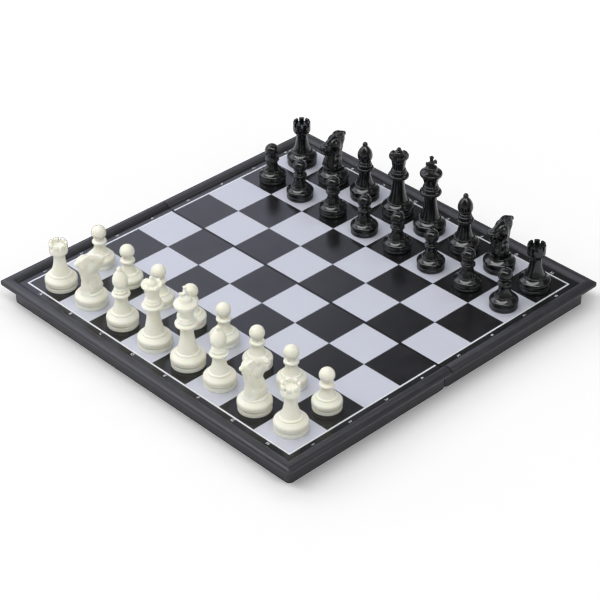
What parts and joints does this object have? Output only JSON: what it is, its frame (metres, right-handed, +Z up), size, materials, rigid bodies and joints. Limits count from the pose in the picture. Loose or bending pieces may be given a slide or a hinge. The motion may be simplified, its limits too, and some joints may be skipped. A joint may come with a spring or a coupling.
{
  "type": "folding magnetic travel chess set",
  "caption": "Travel chess set in a two-part case that folds in half on hinge links, with magnetic men that lift off its steel-backed board.",
  "frame": {"origin": "on the table under the middle of the fold, with the case open flat", "axes": "+X from file a to file h along the fold, +Y from rank 1 to rank 8, +Z up from the table"},
  "size_m": [0.2478, 0.2496, 0.0646],
  "materials": {
    "charcoal_plastic": "satin moulded, fine grain",
    "printed_film": "gloss film over a charcoal print",
    "silver_foil": "satin silver foil",
    "sheet_steel": "plain sheet",
    "steel_pin": "drawn wire",
    "magnet": "plated",
    "ivory_plastic": "satin, warm white",
    "black_plastic": "gloss"
  },
  "bodies": {
    "white_half": {"white_case": "charcoal_plastic", "white_steel_sheet": "sheet_steel", "white_playfield_film": "printed_film", "white_light_squares": "silver_foil", "white_border_line": "silver_foil", "white_hinge_pins": "steel_pin", "white_closure_magnets": "magnet"},
    "hinge_links": {"left_hinge_link": "charcoal_plastic", "right_hinge_link": "charcoal_plastic"},
    "black_half": {"black_case": "charcoal_plastic", "black_steel_sheet": "sheet_steel", "black_playfield_film": "printed_film", "black_light_squares": "silver_foil", "black_border_line": "silver_foil", "black_hinge_pins": "steel_pin", "black_closure_magnets": "magnet"},
    "white_rook_a1_body": {"white_rook_a1": "ivory_plastic"},
    "white_knight_b1_body": {"white_knight_b1": "ivory_plastic"},
    "white_bishop_c1_body": {"white_bishop_c1": "ivory_plastic"},
    "white_queen_d1_body": {"white_queen_d1": "ivory_plastic"},
    "white_king_e1_body": {"white_king_e1": "ivory_plastic"},
    "white_bishop_f1_body": {"white_bishop_f1": "ivory_plastic"},
    "white_knight_g1_body": {"white_knight_g1": "ivory_plastic"},
    "white_rook_h1_body": {"white_rook_h1": "ivory_plastic"},
    "white_pawn_a2_body": {"white_pawn_a2": "ivory_plastic"},
    "white_pawn_b2_body": {"white_pawn_b2": "ivory_plastic"},
    "white_pawn_c2_body": {"white_pawn_c2": "ivory_plastic"},
    "white_pawn_d2_body": {"white_pawn_d2": "ivory_plastic"},
    "white_pawn_e2_body": {"white_pawn_e2": "ivory_plastic"},
    "white_pawn_f2_body": {"white_pawn_f2": "ivory_plastic"},
    "white_pawn_g2_body": {"white_pawn_g2": "ivory_plastic"},
    "white_pawn_h2_body": {"white_pawn_h2": "ivory_plastic"},
    "black_pawn_a7_body": {"black_pawn_a7": "black_plastic"},
    "black_pawn_b7_body": {"black_pawn_b7": "black_plastic"},
    "black_pawn_c7_body": {"black_pawn_c7": "black_plastic"},
    "black_pawn_d7_body": {"black_pawn_d7": "black_plastic"},
    "black_pawn_e7_body": {"black_pawn_e7": "black_plastic"},
    "black_pawn_f7_body": {"black_pawn_f7": "black_plastic"},
    "black_pawn_g7_body": {"black_pawn_g7": "black_plastic"},
    "black_pawn_h7_body": {"black_pawn_h7": "black_plastic"},
    "black_rook_a8_body": {"black_rook_a8": "black_plastic"},
    "black_knight_b8_body": {"black_knight_b8": "black_plastic"},
    "black_bishop_c8_body": {"black_bishop_c8": "black_plastic"},
    "black_queen_d8_body": {"black_queen_d8": "black_plastic"},
    "black_king_e8_body": {"black_king_e8": "black_plastic"},
    "black_bishop_f8_body": {"black_bishop_f8": "black_plastic"},
    "black_knight_g8_body": {"black_knight_g8": "black_plastic"},
    "black_rook_h8_body": {"black_rook_h8": "black_plastic"}
  },
  "joints": [
    {"name": "link_fold", "type": "hinge", "parent": "white_half", "child": "hinge_links", "pos_m": [0, -0.00275, 0.0026], "axis": [-1, 0, 0], "range_deg": [0, 90]},
    {"name": "black_fold", "type": "hinge", "parent": "hinge_links", "child": "black_half", "pos_m": [0, 0.00275, 0.0026], "axis": [-1, 0, 0], "range_deg": [0, 90]},
    {"name": "white_rook_a1_lift", "type": "slide", "parent": "white_half", "child": "white_rook_a1_body", "axis": [0, 0, 1], "range_m": [0, 0.06]},
    {"name": "white_knight_b1_lift", "type": "slide", "parent": "white_half", "child": "white_knight_b1_body", "axis": [0, 0, 1], "range_m": [0, 0.06]},
    {"name": "white_bishop_c1_lift", "type": "slide", "parent": "white_half", "child": "white_bishop_c1_body", "axis": [0, 0, 1], "range_m": [0, 0.06]},
    {"name": "white_queen_d1_lift", "type": "slide", "parent": "white_half", "child": "white_queen_d1_body", "axis": [0, 0, 1], "range_m": [0, 0.06]},
    {"name": "white_king_e1_lift", "type": "slide", "parent": "white_half", "child": "white_king_e1_body", "axis": [0, 0, 1], "range_m": [0, 0.06]},
    {"name": "white_bishop_f1_lift", "type": "slide", "parent": "white_half", "child": "white_bishop_f1_body", "axis": [0, 0, 1], "range_m": [0, 0.06]},
    {"name": "white_knight_g1_lift", "type": "slide", "parent": "white_half", "child": "white_knight_g1_body", "axis": [0, 0, 1], "range_m": [0, 0.06]},
    {"name": "white_rook_h1_lift", "type": "slide", "parent": "white_half", "child": "white_rook_h1_body", "axis": [0, 0, 1], "range_m": [0, 0.06]},
    {"name": "white_pawn_a2_lift", "type": "slide", "parent": "white_half", "child": "white_pawn_a2_body", "axis": [0, 0, 1], "range_m": [0, 0.06]},
    {"name": "white_pawn_b2_lift", "type": "slide", "parent": "white_half", "child": "white_pawn_b2_body", "axis": [0, 0, 1], "range_m": [0, 0.06]},
    {"name": "white_pawn_c2_lift", "type": "slide", "parent": "white_half", "child": "white_pawn_c2_body", "axis": [0, 0, 1], "range_m": [0, 0.06]},
    {"name": "white_pawn_d2_lift", "type": "slide", "parent": "white_half", "child": "white_pawn_d2_body", "axis": [0, 0, 1], "range_m": [0, 0.06]},
    {"name": "white_pawn_e2_lift", "type": "slide", "parent": "white_half", "child": "white_pawn_e2_body", "axis": [0, 0, 1], "range_m": [0, 0.06]},
    {"name": "white_pawn_f2_lift", "type": "slide", "parent": "white_half", "child": "white_pawn_f2_body", "axis": [0, 0, 1], "range_m": [0, 0.06]},
    {"name": "white_pawn_g2_lift", "type": "slide", "parent": "white_half", "child": "white_pawn_g2_body", "axis": [0, 0, 1], "range_m": [0, 0.06]},
    {"name": "white_pawn_h2_lift", "type": "slide", "parent": "white_half", "child": "white_pawn_h2_body", "axis": [0, 0, 1], "range_m": [0, 0.06]},
    {"name": "black_pawn_a7_lift", "type": "slide", "parent": "black_half", "child": "black_pawn_a7_body", "axis": [0, 0, 1], "range_m": [0, 0.06]},
    {"name": "black_pawn_b7_lift", "type": "slide", "parent": "black_half", "child": "black_pawn_b7_body", "axis": [0, 0, 1], "range_m": [0, 0.06]},
    {"name": "black_pawn_c7_lift", "type": "slide", "parent": "black_half", "child": "black_pawn_c7_body", "axis": [0, 0, 1], "range_m": [0, 0.06]},
    {"name": "black_pawn_d7_lift", "type": "slide", "parent": "black_half", "child": "black_pawn_d7_body", "axis": [0, 0, 1], "range_m": [0, 0.06]},
    {"name": "black_pawn_e7_lift", "type": "slide", "parent": "black_half", "child": "black_pawn_e7_body", "axis": [0, 0, 1], "range_m": [0, 0.06]},
    {"name": "black_pawn_f7_lift", "type": "slide", "parent": "black_half", "child": "black_pawn_f7_body", "axis": [0, 0, 1], "range_m": [0, 0.06]},
    {"name": "black_pawn_g7_lift", "type": "slide", "parent": "black_half", "child": "black_pawn_g7_body", "axis": [0, 0, 1], "range_m": [0, 0.06]},
    {"name": "black_pawn_h7_lift", "type": "slide", "parent": "black_half", "child": "black_pawn_h7_body", "axis": [0, 0, 1], "range_m": [0, 0.06]},
    {"name": "black_rook_a8_lift", "type": "slide", "parent": "black_half", "child": "black_rook_a8_body", "axis": [0, 0, 1], "range_m": [0, 0.06]},
    {"name": "black_knight_b8_lift", "type": "slide", "parent": "black_half", "child": "black_knight_b8_body", "axis": [0, 0, 1], "range_m": [0, 0.06]},
    {"name": "black_bishop_c8_lift", "type": "slide", "parent": "black_half", "child": "black_bishop_c8_body", "axis": [0, 0, 1], "range_m": [0, 0.06]},
    {"name": "black_queen_d8_lift", "type": "slide", "parent": "black_half", "child": "black_queen_d8_body", "axis": [0, 0, 1], "range_m": [0, 0.06]},
    {"name": "black_king_e8_lift", "type": "slide", "parent": "black_half", "child": "black_king_e8_body", "axis": [0, 0, 1], "range_m": [0, 0.06]},
    {"name": "black_bishop_f8_lift", "type": "slide", "parent": "black_half", "child": "black_bishop_f8_body", "axis": [0, 0, 1], "range_m": [0, 0.06]},
    {"name": "black_knight_g8_lift", "type": "slide", "parent": "black_half", "child": "black_knight_g8_body", "axis": [0, 0, 1], "range_m": [0, 0.06]},
    {"name": "black_rook_h8_lift", "type": "slide", "parent": "black_half", "child": "black_rook_h8_body", "axis": [0, 0, 1], "range_m": [0, 0.06]}
  ],
  "couplings": [
    {"joint": "link_fold", "follows": "black_fold", "ratio": 1}
  ]
}
